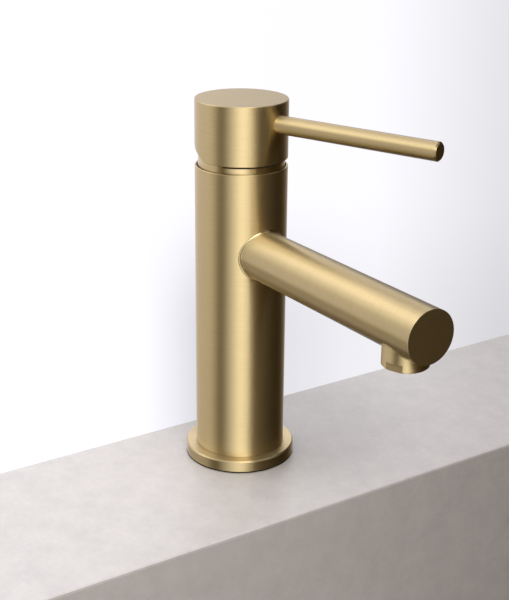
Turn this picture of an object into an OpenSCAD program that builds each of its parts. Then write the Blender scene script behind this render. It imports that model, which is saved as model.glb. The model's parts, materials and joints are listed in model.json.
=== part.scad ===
// Single-lever basin mixer with a 35 mm ceramic cartridge, a straight spout and a pin lever.
// Millimetres. Origin: centre of the base's underside on the deck, +Z up, +X along the spout.

/* [Body] */
// Diameter of the upright body
body_d = 42; // [42:0.5:46]
// Height of the body's top rim above the deck
body_top_z = 142.8; // [142.8:0.2:160]
// Bevel round the body's top and bottom edges
body_bevel = 0.15; // [0.1:0.05:0.5]
// Depth of the recess in the underside that the hoses and the stud enter
base_recess_depth = 22.5; // [18:0.5:40]

/* [Base ring] */
// Diameter of the base ring
ring_d = 51.6; // [49:0.2:60]
// Height of the base ring's top above the deck
ring_top_z = 6; // [5:0.5:12]
// Bevel round the base ring's top edge
ring_bevel = 0.6; // [0.2:0.1:1.5]
// Gap that the soft seal keeps between the ring and the deck
ring_gap = 0.5; // [0.2:0.1:1]

/* [Spout] */
// Diameter of the spout tube
spout_d = 22.9; // [20:0.1:24]
// Height of the spout's axis above the deck
spout_z = 104.8; // [104:0.2:105.2]
// Distance from the body's axis to the spout's closed end
spout_end_x = 133; // [110:1:200]
// Wall of the spout tube
spout_wall = 2; // [1.5:0.1:2.4]
// Edge break round the spout's closed end
spout_bevel = 0.1; // [0.1:0.05:0.6]

/* [Outlet and aerator] */
// Distance from the body's axis to the outlet's axis
outlet_x = 119; // [95:1:185]
// Diameter of the outlet socket and of the aerator's collar
outlet_d = 19.2; // [19.2:0.1:20.5]
// Height of the outlet's lower edge above the deck
outlet_bottom_z = 88.6; // [87:0.2:89]
// Height of the aerator's collar
collar_h = 3.3; // [2.5:0.1:4]
// Spanner size across the collar's two flats
collar_flats = 17.7; // [17.2:0.1:19]
// Direction that the flats run in, measured from the spout
collar_turn = 21; // [0:1:180]

/* [Handle] */
// Diameter of the handle cap
cap_d = 42; // [42:0.5:46]
// Height of the handle cap
cap_h = 26.5; // [26:0.5:32]
// Gap between the body's rim and the cap
cap_gap = 3.5; // [3.4:0.1:4]
// Edge break round the cap's rims
cap_bevel = 0.3; // [0.1:0.05:0.6]
// Slope of the relief under the back of the cap, degrees
relief_angle = 28; // [27:1:32]
// Distance behind the axis at which the relief starts
relief_start = 5; // [2:0.5:5]
// Turn of the lever from the spout, degrees: the middle is 0
lever_turn = 20.5; // [-50:0.5:50]

/* [Lever] */
// Diameter of the lever pin
lever_d = 8.2; // [7:0.1:9]
// Distance from the axis to the lever's free end
lever_reach = 99.2; // [60:0.5:140]
// Height of the lever's axis below the top of the cap
lever_drop = 9.2; // [9:0.1:10]
// Bevel on the lever's free end
lever_bevel = 0.6; // [0.2:0.1:1.5]

/* [Mounting] */
// Thickness of the deck that the mixer is clamped to
deck_t = 30; // [3:1:40]
// Diameter of the fixing stud
stud_d = 8; // [8:1:8]
// Nominal diameter of the hose threads
hose_thread_d = 10; // [10:1:10]

/* [Hidden] */

$fn = 96;
eps = 0.01;

// colours
brass_tint = "#c8ab74";
raw_brass_tint = "#c9a227";
steel_tint = "#9a9da1";
acetal_tint = "#e6e4de";
grey_plastic_tint = "#8d9298";
ceramic_tint = "#f4f3ee";
rubber_tint = "#202022";

body_r = body_d / 2;
cap_r = cap_d / 2;
ring_r = ring_d / 2;
spout_r = spout_d / 2;
outlet_r = outlet_d / 2;
lever_r = lever_d / 2;
stud_r = stud_d / 2;

// underside: spigot, recess, hoses and stud
spigot_r = 18.5;
spigot_bottom_z = 1.5;
recess_r = 17;
recess_top_z = spigot_bottom_z + base_recess_depth;
seal_in_r = 19.2;
seal_out_r = ring_r - 0.8;
seal_h = 2;
hose_x = 5;
hose_y = 9;
hose_minor_r = hose_thread_d / 2 - 0.54;
hose_thread_h = 12;
stud_x = -11.5;
stud_hole_h = 14;
stud_tail = 14;

// under the deck
gasket_t = 3;
plate_t = 2.5;
horseshoe_r = 26;
horseshoe_slot_x = -5;
horseshoe_slot_y = 15.5;
horseshoe_corner_r = 5;
stud_clear_r = 4.5;
nut_flange_r = 9;
nut_flange_h = 2;
nut_hex_af = 12;
nut_hex_h = 16;
gasket_z = -deck_t - gasket_t;
plate_z = gasket_z - plate_t;
nut_top_z = plate_z;

// waterways
way_r = 3;
outlet_port_x = -7.5;
outlet_port_r = 3.8;
cross_r = 4.5;
socket_r = 8;
socket_x = 12.5;
spout_throat_r = 5.5;

// cartridge seat, counted down from the rim
seat_z = body_top_z - 28.3;
chamber_r = 17.5;
thread_r = 18.5;
thread_z = body_top_z - 7;
rim_z = body_top_z - 2.4;
rim_r = 20.3;
shoulder_z = seat_z + 22;
pivot_z = seat_z + 25.5;

// cartridge pieces
housing_r = 17.4;
housing_in_r = 15.3;
housing_neck_r = 12.8;
housing_neck_top_z = shoulder_z + 5.5;
housing_roof_z = shoulder_z - 2.5;
neck_bore_r = 10.5;
skirt_z = seat_z + 2;
base_top_z = seat_z + 4;
base_in_r = 15.2;
pocket_r = 13.5;
pocket_top_z = base_top_z + 2.5;
port_ring_h = 1.5;
locating_r = 1.4;
locating_h = 2.5;
locating_pos = [[-2, 13.2], [-2, -13.2]];
// each port is [x, y, radius]: below in the base, above in the fixed disc
low_ports = [[hose_x, hose_y, way_r], [hose_x, -hose_y, way_r], [outlet_port_x, 0, outlet_port_r]];
high_ports = [[5.4, 5, 2.2], [5.4, -5, 2.2], [-5.2, 0, 3]];
ring_in = 0.2;
ring_out = 1.5;
disc_t = 4;
fixed_disc_r = 13.4;
face_gap = 0.03;
moving_disc_z = base_top_z + disc_t + face_gap;
moving_disc_r = 12;
carrier_z = seat_z + 11.5;
carrier_r = 10.2;
tongue_z = carrier_z + 3.5;
tongue_top_z = carrier_z + 6.3;
tongue_w = 12;
tongue_l = 16;

// swing and lift
lift_max = 25;
swing_max = 50;
ball_r = 3;
ball_z = pivot_z - 10.4;
ball_travel = (pivot_z - ball_z) * sin(lift_max);
disc_shift = -ball_travel / 2;
arm_r = 1.9;
ball_socket_r = 3.2;
guide_neck_r = 10.45;
guide_flange_r = 13.9;
guide_z = tongue_z + 0.3;
guide_flange_top_z = housing_roof_z - 0.05;
guide_top_z = pivot_z + 3;
guide_slot = [-6.6, 8];
guide_slot_w = 8.2;
groove_w = tongue_w + 0.3;
groove_top_z = tongue_top_z + 0.3;
stop_w = 4;
stop_r = 15;
lug_turn = swing_max + 16.4;
pin_r = 1.5;
pin_l = 19.6;
pin_clear = 0.05;
stem_block = [8, 7.8];
stem_square = 8;
stem_square_z = guide_top_z + 0.3;

// bonnet and nut above the cartridge
nut_hex_r = 31 / 2 / cos(30);
nut_hex_top_z = rim_z + 3.8;
bonnet_r = 19.6;
bonnet_in_r = 18.4;
bonnet_wall = bonnet_r - bonnet_in_r;
bonnet_side_z = rim_z + 4.8;
bonnet_round = 3.4;
bonnet_hole_r = 12;
oring_r = 0.65;
oring_z = rim_z + 1.2;

// handle cap
cap_z = body_top_z + cap_gap;
cap_top_z = cap_z + cap_h;
cavity_r = 20.8;
cavity_top_z = pivot_z + 15.3;
hub_r = 7;
hub_z = pivot_z + 10.8;
stem_top_z = cap_top_z - 5.3;
stem_clear = 0.05;
lever_z = cap_top_z - lever_drop;
lever_seat_x = cap_r - 3.5;
lever_thread_r = 3;
lever_thread_x = 10.5;
grub_l = 5;

// aerator
seam_z = outlet_bottom_z + collar_h;
sleeve_r = 9;
sleeve_top_z = seam_z + 8.7;
aerator_thread_r = 8.25;
ledge_z = seam_z + 7.1;
ledge_hole_r = 6.5;
aerator_bore_r = 7.2;
aerator_top_z = seam_z + 5.4;
core_bottom_z = outlet_bottom_z + 1.4;
core_r = 7.15;
core_hole_r = 0.8;
core_rings = [[0, 1], [2.3, 6], [4.6, 12]];
screen_t = 0.5;
screen_wire = 0.35;
screen_pitch = 1.4;

// Puts children, drawn along +Z, on the spout's axis.
module along_spout() {
    translate([0, 0, spout_z]) rotate([0, 90, 0]) children();
}

// Turns children, drawn with the lever over +X, to the lever's direction.
module lever_frame() {
    rotate([0, 0, lever_turn]) children();
}

// A round bar with a bevelled far end.
module bar(r, z0, z1, bevel) {
    rotate_extrude() polygon([[0, z0], [r, z0], [r, z1 - bevel], [r - bevel, z1], [0, z1]]);
}

// A flat ring from z0 to z1.
module ring(r_in, r_out, z0, z1) {
    translate([0, 0, z0]) difference() {
        cylinder(r = r_out, h = z1 - z0);
        translate([0, 0, -1]) cylinder(r = r_in, h = z1 - z0 + 2);
    }
}

// Holes through z0 to z1, one at each [x, y, radius], widened by extra.
module ports(list, z0, z1, extra = 0) {
    for (p = list) translate([p[0], p[1], z0]) cylinder(r = p[2] + extra, h = z1 - z0);
}

// Soft rings, one round each port.
module port_rings(list, z0, z1) {
    for (p = list) translate([p[0], p[1], 0]) ring(p[2] + ring_in, p[2] + ring_out, z0, z1);
}

module base_seal() {
    color(rubber_tint) ring(seal_in_r, seal_out_r, 0, seal_h);
}

module base_ring() {
    color(brass_tint) rotate_extrude() polygon([
        [spigot_r, ring_gap], [seal_in_r, ring_gap], [seal_in_r, seal_h], [seal_out_r, seal_h],
        [seal_out_r, ring_gap], [ring_r, ring_gap], [ring_r, ring_top_z - ring_bevel],
        [ring_r - ring_bevel, ring_top_z], [spigot_r, ring_top_z]
    ]);
}

// The upright: a turned bar with the cartridge chamber above and the hose recess below.
module body() {
    color(brass_tint) difference() {
        rotate_extrude() polygon([
            [0, spigot_bottom_z], [spigot_r, spigot_bottom_z], [spigot_r, ring_top_z],
            [body_r - body_bevel, ring_top_z], [body_r, ring_top_z + body_bevel],
            [body_r, body_top_z - body_bevel], [body_r - body_bevel, body_top_z], [0, body_top_z]
        ]);
        // chamber, nut thread and bonnet seat
        translate([0, 0, seat_z]) cylinder(r = chamber_r, h = body_top_z);
        translate([0, 0, thread_z]) cylinder(r = thread_r, h = body_top_z);
        translate([0, 0, rim_z]) cylinder(r = rim_r, h = body_top_z);
        for (p = locating_pos) {
            translate([p[0], p[1], seat_z - locating_h - 0.2]) cylinder(r = locating_r + 0.1, h = locating_h + 1);
        }
        // recess, hose threads and the waterways up to the seat
        translate([0, 0, -1]) cylinder(r = recess_r, h = recess_top_z + 1);
        for (side = [-1, 1]) translate([hose_x, side * hose_y, recess_top_z - eps]) {
            cylinder(r = hose_minor_r, h = hose_thread_h + eps);
            cylinder(r = way_r, h = seat_z);
        }
        translate([stud_x, 0, recess_top_z - eps]) cylinder(r = stud_r, h = stud_hole_h + eps);
        // mixed water: down from the seat, then along to the spout's socket
        translate([outlet_port_x, 0, spout_z]) cylinder(r = outlet_port_r, h = seat_z);
        along_spout() translate([0, 0, outlet_port_x - outlet_port_r]) cylinder(r = cross_r, h = body_r);
        along_spout() translate([0, 0, socket_x]) cylinder(r = socket_r, h = body_r);
    }
}

module fixing_stud() {
    bottom = nut_top_z - nut_flange_h - nut_hex_h - stud_tail;
    color(steel_tint) translate([stud_x, 0, 0]) bar(stud_r, bottom, recess_top_z + stud_hole_h - 1, 0.6);
}

// A plate with a slot for the hoses and a hole for the stud.
module horseshoe(z0, t) {
    r = horseshoe_corner_r;
    x0 = horseshoe_slot_x;
    y0 = horseshoe_slot_y;
    translate([0, 0, z0]) difference() {
        cylinder(r = horseshoe_r, h = t);
        translate([x0 + r, -y0, -1]) cube([2 * horseshoe_r, 2 * y0, t + 2]);
        translate([x0, r - y0, -1]) cube([2 * horseshoe_r, 2 * (y0 - r), t + 2]);
        for (side = [-1, 1]) translate([x0 + r, side * (y0 - r), -1]) cylinder(r = r, h = t + 2);
        translate([stud_x, 0, -1]) cylinder(r = stud_clear_r, h = t + 2);
    }
}

module horseshoe_gasket() {
    color(rubber_tint) horseshoe(gasket_z, gasket_t);
}

module horseshoe_washer() {
    color(steel_tint) horseshoe(plate_z, plate_t);
}

module fixing_nut() {
    hex_r = nut_hex_af / 2 / cos(30);
    flange_z = nut_top_z - nut_flange_h;
    color(raw_brass_tint) translate([stud_x, 0, 0]) difference() {
        union() {
            translate([0, 0, flange_z]) cylinder(r = nut_flange_r, h = nut_flange_h);
            translate([0, 0, flange_z - nut_hex_h]) cylinder(r = hex_r, h = nut_hex_h + 1, $fn = 6);
        }
        translate([0, 0, flange_z - nut_hex_h - 1]) cylinder(r = stud_r, h = nut_hex_h + nut_flange_h + 2);
    }
}

// A tube with a closed end, coped to the body, with a spigot brazed into the body's socket.
module spout() {
    color(brass_tint) difference() {
        union() {
            difference() {
                along_spout() bar(spout_r, 0, spout_end_x, spout_bevel);
                cylinder(r = body_r, h = body_top_z);
            }
            along_spout() translate([0, 0, socket_x]) cylinder(r = socket_r, h = body_r - socket_x + 2);
        }
        along_spout() translate([0, 0, socket_x - 1]) cylinder(r = spout_throat_r, h = body_r);
        along_spout() translate([0, 0, body_r + 3]) {
            cylinder(r = spout_r - spout_wall, h = spout_end_x - spout_wall - body_r - 4);
        }
        translate([outlet_x, 0, 0]) cylinder(r = sleeve_r, h = sleeve_top_z + 0.2);
    }
}

// The turned socket under the spout, coped to the tube, with a sleeve that passes its wall.
module outlet_socket() {
    color(brass_tint) difference() {
        union() {
            difference() {
                translate([outlet_x, 0, seam_z]) cylinder(r = outlet_r, h = spout_z - seam_z);
                along_spout() cylinder(r = spout_r, h = spout_end_x);
            }
            translate([outlet_x, 0, seam_z]) cylinder(r = sleeve_r, h = sleeve_top_z - seam_z);
        }
        translate([outlet_x, 0, seam_z - 1]) cylinder(r = aerator_thread_r, h = ledge_z - seam_z + 1);
        translate([outlet_x, 0, seam_z]) cylinder(r = ledge_hole_r, h = sleeve_top_z);
    }
}

// The aerator's threaded shell, with a collar that has two spanner flats.
module aerator_housing() {
    color(brass_tint) translate([outlet_x, 0, 0]) difference() {
        union() {
            translate([0, 0, seam_z - 1]) cylinder(r = aerator_thread_r, h = aerator_top_z - seam_z + 1);
            intersection() {
                rotate_extrude() polygon([
                    [0, outlet_bottom_z], [outlet_r - 0.4, outlet_bottom_z],
                    [outlet_r, outlet_bottom_z + 0.4], [outlet_r, seam_z], [0, seam_z]
                ]);
                rotate([0, 0, collar_turn]) translate([-outlet_d, -collar_flats / 2, 0]) {
                    cube([2 * outlet_d, collar_flats, seam_z]);
                }
            }
        }
        translate([0, 0, core_bottom_z - 0.1]) cylinder(r = aerator_bore_r, h = aerator_top_z);
        translate([0, 0, outlet_bottom_z - 1]) cylinder(r = aerator_bore_r - 0.7, h = 3);
    }
}

// The plastic core: a thick disc with rings of jets.
module aerator_core() {
    color(grey_plastic_tint) translate([outlet_x, 0, 0]) difference() {
        translate([0, 0, core_bottom_z]) cylinder(r = core_r, h = aerator_top_z - core_bottom_z - screen_t);
        for (ring_of = core_rings) for (i = [0 : ring_of[1] - 1]) rotate([0, 0, i * 360 / ring_of[1]]) {
            translate([ring_of[0], 0, 0]) cylinder(r = core_hole_r, h = aerator_top_z, $fn = 24);
        }
    }
}

// A woven screen on top of the core, with a rim.
module aerator_screen() {
    z0 = aerator_top_z - screen_t;
    half = floor(core_r / screen_pitch);
    color(steel_tint) translate([outlet_x, 0, 0]) {
        ring(core_r - 0.7, core_r, z0, aerator_top_z);
        intersection() {
            translate([0, 0, z0]) cylinder(r = core_r - 0.3, h = screen_t);
            for (turn = [0, 90]) rotate([0, 0, turn]) for (i = [-half : half]) {
                translate([-core_r, i * screen_pitch - screen_wire / 2, z0]) {
                    cube([2 * core_r, screen_wire, screen_t]);
                }
            }
        }
    }
}

module aerator_washer() {
    color(rubber_tint) translate([outlet_x, 0, 0]) ring(ledge_hole_r, aerator_thread_r, aerator_top_z, ledge_z);
}

module port_seals() {
    color(rubber_tint) port_rings(low_ports, seat_z, seat_z + port_ring_h);
}

// The cartridge's floor: ports step from the body's waterways to the disc's ports.
module cartridge_base() {
    color(grey_plastic_tint) difference() {
        union() {
            translate([0, 0, seat_z]) cylinder(r = housing_r, h = skirt_z - seat_z);
            translate([0, 0, seat_z]) cylinder(r = base_in_r, h = pocket_top_z - seat_z);
            for (p = locating_pos) {
                translate([p[0], p[1], seat_z - locating_h]) cylinder(r = locating_r, h = locating_h + 1);
            }
        }
        translate([0, 0, base_top_z]) cylinder(r = pocket_r, h = disc_t);
        ports(low_ports, seat_z - 1, seat_z + 2.7);
        ports(high_ports, seat_z + 2, base_top_z + 1);
        ports(low_ports, seat_z - 1, seat_z + port_ring_h, ring_out);
        ports(high_ports, base_top_z - port_ring_h, base_top_z + 1, ring_out);
    }
}

module disc_seals() {
    color(rubber_tint) port_rings(high_ports, base_top_z - port_ring_h, base_top_z);
}

module fixed_disc() {
    color(ceramic_tint) difference() {
        translate([0, 0, base_top_z]) cylinder(r = fixed_disc_r, h = disc_t);
        ports(high_ports, base_top_z - 1, base_top_z + disc_t + 1);
    }
}

// The moving disc: its mixing hollow always meets the outlet, and meets the inlets as it slides.
module moving_disc() {
    hollow_r = 4.6;
    color(ceramic_tint) lever_frame() difference() {
        translate([disc_shift, 0, moving_disc_z]) cylinder(r = moving_disc_r, h = carrier_z - moving_disc_z);
        translate([0, 0, moving_disc_z - 1]) linear_extrude(height = 2.8) {
            circle(r = hollow_r);
            polygon([[0, 4.6], [-2, 4.8], [-8, 8], [-9.4, 4], [-9.4, -4], [-8, -8], [-2, -4.8], [0, -4.6]]);
        }
    }
}

// The carrier sits on the moving disc; its tongue runs in the guide and its socket holds the stem's ball.
module disc_carrier() {
    color(acetal_tint) lever_frame() difference() {
        translate([disc_shift, 0, 0]) union() {
            translate([0, 0, carrier_z]) cylinder(r = carrier_r, h = tongue_z - carrier_z);
            translate([-tongue_l / 2, -tongue_w / 2, carrier_z]) {
                cube([tongue_l, tongue_w, tongue_top_z - carrier_z]);
            }
        }
        translate([0, 0, carrier_z + 0.4]) cylinder(r = ball_socket_r, h = tongue_top_z);
    }
}

// The guide turns in the housing's neck and carries the stem's pin.
module stem_guide() {
    color(acetal_tint) lever_frame() difference() {
        union() {
            translate([0, 0, guide_z]) cylinder(r = guide_flange_r, h = guide_flange_top_z - guide_z);
            translate([0, 0, guide_z]) cylinder(r = guide_neck_r, h = guide_top_z - guide_z);
            // stop tab at the back
            intersection() {
                translate([0, 0, guide_z]) cylinder(r = stop_r, h = guide_flange_top_z - guide_z);
                translate([-stop_r, -stop_w / 2, guide_z]) cube([stop_r, stop_w, guide_flange_top_z - guide_z]);
            }
        }
        translate([-stop_r - 1, -groove_w / 2, guide_z - 1]) {
            cube([2 * stop_r + 2, groove_w, groove_top_z - guide_z + 1]);
        }
        translate([guide_slot[0], -guide_slot_w / 2, guide_z - 1]) {
            cube([guide_slot[1] - guide_slot[0], guide_slot_w, guide_top_z - guide_z + 2]);
        }
        translate([0, 0, pivot_z]) rotate([90, 0, 0]) cylinder(r = pin_r, h = pin_l, center = true);
    }
}

module stem_pin() {
    color(steel_tint) lever_frame() {
        translate([0, 0, pivot_z]) rotate([90, 0, 0]) cylinder(r = pin_r, h = pin_l, center = true);
    }
}

// The cartridge's shell, with two lugs under its roof that stop the swing.
module cartridge_housing() {
    color(acetal_tint) {
        difference() {
            union() {
                translate([0, 0, skirt_z]) cylinder(r = housing_r, h = shoulder_z - skirt_z);
                translate([0, 0, shoulder_z - 1]) cylinder(r = housing_neck_r, h = housing_neck_top_z - shoulder_z + 1);
            }
            difference() {
                translate([0, 0, skirt_z - 1]) cylinder(r = housing_in_r, h = housing_roof_z - skirt_z + 1);
                for (side = [-1, 1]) rotate([0, 0, 180 + side * lug_turn]) {
                    translate([guide_flange_r + 0.3, -stop_w / 2, guide_z]) cube([4, stop_w, 10]);
                }
            }
            cylinder(r = neck_bore_r, h = housing_neck_top_z + 1);
        }
    }
}

// The threaded ring nut that clamps the cartridge, with a hexagon above the thread.
module retaining_nut() {
    color(raw_brass_tint) difference() {
        union() {
            translate([0, 0, shoulder_z]) cylinder(r = thread_r, h = rim_z - shoulder_z);
            translate([0, 0, shoulder_z]) cylinder(r = nut_hex_r, h = nut_hex_top_z - shoulder_z, $fn = 6);
        }
        translate([0, 0, shoulder_z - 1]) cylinder(r = housing_neck_r + 0.1, h = nut_hex_top_z);
    }
}

// The turned neck ring between body and cap, with a rounded top inside the cap.
module bonnet() {
    turns = [0 : 15 : 90];
    outer = [for (a = turns) [bonnet_r - bonnet_round + bonnet_round * cos(a),
                              bonnet_side_z + bonnet_round * sin(a)]];
    inner_round = bonnet_round - bonnet_wall;
    inner = [for (a = turns) [bonnet_in_r - inner_round + inner_round * cos(90 - a),
                              bonnet_side_z + inner_round * sin(90 - a)]];
    top_z = bonnet_side_z + bonnet_round;
    color(brass_tint) difference() {
        rotate_extrude() polygon(concat(
            [[bonnet_in_r, rim_z], [bonnet_r, rim_z]], outer,
            [[bonnet_hole_r, top_z], [bonnet_hole_r, top_z - bonnet_wall]], inner
        ));
        ring(rim_r - 2 * oring_r, bonnet_r + 1, oring_z - oring_r - 0.1, oring_z + oring_r + 0.1);
    }
}

module bonnet_oring() {
    color(rubber_tint) translate([0, 0, oring_z]) rotate_extrude() {
        translate([rim_r - oring_r, 0]) circle(r = oring_r, $fn = 24);
    }
}

// The stem: a square shank above, a pivot block, and an arm with a ball below.
module stem() {
    chamfer = 0.8;
    half = stem_square / 2;
    color(raw_brass_tint) lever_frame() difference() {
        union() {
            translate([-half, -half, stem_square_z]) cube([stem_square, stem_square, stem_top_z - stem_square_z]);
            translate([-stem_block[0] / 2, -stem_block[1] / 2, pivot_z - 3]) {
                cube([stem_block[0], stem_block[1], stem_square_z - pivot_z + 3]);
            }
            translate([0, 0, ball_z]) cylinder(r = arm_r, h = pivot_z - ball_z - 2);
            translate([0, 0, ball_z]) sphere(r = ball_r);
        }
        for (turn = [0 : 90 : 270]) rotate([0, 0, turn]) translate([half - chamfer, -stem_square, stem_top_z]) {
            rotate([0, 45, 0]) cube([4 * chamfer, 2 * stem_square, 4 * chamfer]);
        }
        translate([0, 0, pivot_z]) rotate([90, 0, 0]) {
            cylinder(r = pin_r + pin_clear, h = stem_square + 2, center = true);
        }
    }
}

// The cap: hollow below to clear the bonnet as it tilts, with the back of its rim cut away.
module handle_cap() {
    socket = stem_square + 2 * stem_clear;
    color(brass_tint) lever_frame() difference() {
        rotate_extrude() polygon([
            [0, cap_z], [cap_r - cap_bevel, cap_z], [cap_r, cap_z + cap_bevel],
            [cap_r, cap_top_z - cap_bevel], [cap_r - cap_bevel, cap_top_z], [0, cap_top_z]
        ]);
        difference() {
            intersection() {
                translate([0, 0, pivot_z]) sphere(r = cavity_r);
                cylinder(r = 2 * cap_r, h = cavity_top_z);
            }
            translate([0, 0, hub_z]) cylinder(r = hub_r, h = cap_h);
        }
        translate([-relief_start, 0, cap_z]) rotate([0, relief_angle, 0]) {
            translate([-2 * cap_d, -cap_d, -cap_d]) cube([2 * cap_d, 2 * cap_d, cap_d]);
        }
        translate([-socket / 2, -socket / 2, hub_z - 1]) cube([socket, socket, stem_top_z + 0.5 - hub_z + 1]);
        translate([0, 0, lever_z]) rotate([0, 90, 0]) {
            cylinder(r = lever_thread_r, h = cap_r);
            translate([0, 0, lever_seat_x]) cylinder(r = lever_r, h = cap_r);
        }
    }
}

// The set screw that clamps the cap to the stem; the lever pin covers it.
module grub_screw() {
    x0 = stem_square / 2;
    color(steel_tint) lever_frame() translate([0, 0, lever_z]) rotate([0, 90, 0]) difference() {
        translate([0, 0, x0]) cylinder(r = lever_thread_r, h = grub_l);
        translate([0, 0, x0 + grub_l - 2.5]) cylinder(r = 3 / 2 / cos(30), h = 3, $fn = 6);
    }
}

// The lever: a round pin with a bevelled end and a reduced thread that screws into the cap.
module lever_pin() {
    color(brass_tint) lever_frame() translate([0, 0, lever_z]) rotate([0, 90, 0]) {
        bar(lever_r, lever_seat_x, lever_reach, lever_bevel);
        translate([0, 0, lever_thread_x]) cylinder(r = lever_thread_r, h = lever_seat_x - lever_thread_x + 1);
    }
}

base_seal();
base_ring();
body();
fixing_stud();
horseshoe_gasket();
horseshoe_washer();
fixing_nut();
spout();
outlet_socket();
aerator_housing();
aerator_core();
aerator_screen();
aerator_washer();
port_seals();
cartridge_base();
disc_seals();
fixed_disc();
moving_disc();
disc_carrier();
stem_guide();
stem_pin();
cartridge_housing();
retaining_nut();
bonnet();
bonnet_oring();
stem();
handle_cap();
grub_screw();
lever_pin();
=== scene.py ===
import json
import math

import bmesh
import bpy
from mathutils import Matrix, Vector


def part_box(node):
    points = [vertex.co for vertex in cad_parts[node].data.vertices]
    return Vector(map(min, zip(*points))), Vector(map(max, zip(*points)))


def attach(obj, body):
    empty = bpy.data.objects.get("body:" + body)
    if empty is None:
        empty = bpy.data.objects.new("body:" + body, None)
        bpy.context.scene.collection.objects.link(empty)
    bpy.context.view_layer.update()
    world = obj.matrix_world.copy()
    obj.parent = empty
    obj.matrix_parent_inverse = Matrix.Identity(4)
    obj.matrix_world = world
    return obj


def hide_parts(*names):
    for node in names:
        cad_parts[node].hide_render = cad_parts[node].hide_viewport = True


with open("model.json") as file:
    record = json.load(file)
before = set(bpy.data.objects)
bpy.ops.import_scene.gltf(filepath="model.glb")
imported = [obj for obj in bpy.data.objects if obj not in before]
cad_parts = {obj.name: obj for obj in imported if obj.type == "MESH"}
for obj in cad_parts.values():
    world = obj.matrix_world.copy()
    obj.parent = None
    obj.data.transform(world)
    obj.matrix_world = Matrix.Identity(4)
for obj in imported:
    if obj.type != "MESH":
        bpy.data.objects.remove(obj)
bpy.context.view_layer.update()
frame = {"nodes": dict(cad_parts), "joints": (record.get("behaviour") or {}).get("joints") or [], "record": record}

bl_info = {
    "name": "Basin Mixer Finishes",
    "version": (1, 0, 0),
    "blender": (4, 5, 0),
    "location": "3D View > Sidebar > Basin Mixer",
    "description": "Brushed brass finishes, threads and fillets for a single-lever basin mixer",
    "category": "Object",
}

NODES = frame["nodes"]


def middle(node):
    """Middle of a CAD node's box at rest."""
    low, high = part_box(node)
    return (low + high) / 2


BODY_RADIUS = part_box("body")[1].x
SPOUT_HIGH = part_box("spout")[1]
SPOUT_RADIUS = SPOUT_HIGH.y
SPOUT_AXIS_Z = SPOUT_HIGH.z - SPOUT_RADIUS
SOCKET_MIDDLE = middle("outlet_socket")
STUD_LOW, STUD_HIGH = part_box("fixing_stud")
LIFT_AXIS = Vector(next(j["axis"] for j in frame["joints"] if j["name"] == "handle_lift"))
LEVER_DIRECTION = LIFT_AXIS.cross(Vector((0, 0, -1))).normalized()
ORIGIN = (0, 0, 0)
UPWARDS = (0, 0, 1)
FORWARDS = (1, 0, 0)
SIDEWAYS = (0, 1, 0)
CIRCLE_SIDES = 64

# A colour ramp holds values up to 1, so brightness goes through it divided by this.
LIGHT_SCALE = 8.0


# ---------------------------------------------------------------- settings

class BrassSettings(bpy.types.PropertyGroup):
    """The brushed brass that shows."""
    colour: bpy.props.FloatVectorProperty(
        name="Brass colour", description="Colour of the brushed brass, face on",
        default=(0.62, 0.484, 0.252), min=0, max=1, size=3, subtype="COLOR")
    rim_colour: bpy.props.FloatVectorProperty(
        name="Glancing tint", description="Tint of the brass where it is seen at a glancing angle",
        default=(1.0, 1.0, 1.0), min=0, max=1, size=3, subtype="COLOR")
    roughness: bpy.props.FloatProperty(
        name="Roughness", description="Roughness of the brushed surface",
        default=0.46, min=0, max=1, subtype="FACTOR")
    neck_polish: bpy.props.FloatProperty(
        name="Neck polish", description="How much smoother the neck ring is",
        default=0.14, min=0, max=0.4, subtype="FACTOR")
    ring_polish: bpy.props.FloatProperty(
        name="Base ring polish", description="How much smoother the base ring is",
        default=0.10, min=0, max=0.4, subtype="FACTOR")
    # Painted shade: the base ring's brass is dimmed against the body's to stand for the dimmer light round the
    # mixer's foot.
    ring_painted_shade: bpy.props.FloatProperty(
        name="Base ring shade", description="How bright the base ring's coating is beside the body's",
        default=0.86, min=0, max=1, subtype="FACTOR")
    fillet_polish: bpy.props.FloatProperty(
        name="Fillet polish", description="How much smoother the braze fillets are",
        default=0.28, min=0, max=0.4, subtype="FACTOR")
    grain: bpy.props.FloatProperty(
        name="Brush grain", description="How much longer the highlights are across the brush lines",
        default=0.94, min=0, max=1, subtype="FACTOR")
    line_pitch: bpy.props.FloatProperty(
        name="Line pitch", description="Width of the coarsest brush lines",
        default=0.0006, min=0.0001, max=0.01, precision=5, unit="LENGTH")
    line_length: bpy.props.FloatProperty(
        name="Line length", description="Length of the brush lines",
        default=0.012, min=0.001, max=0.1, precision=4, unit="LENGTH")
    line_depth: bpy.props.FloatProperty(
        name="Line depth", description="Depth of the brush lines",
        default=0.000008, min=0, max=0.0001, precision=7, unit="LENGTH")
    lacquer: bpy.props.FloatProperty(
        name="Lacquer", description="Weight of the clear lacquer over the brass",
        default=0.35, min=0, max=1, subtype="FACTOR")


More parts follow.
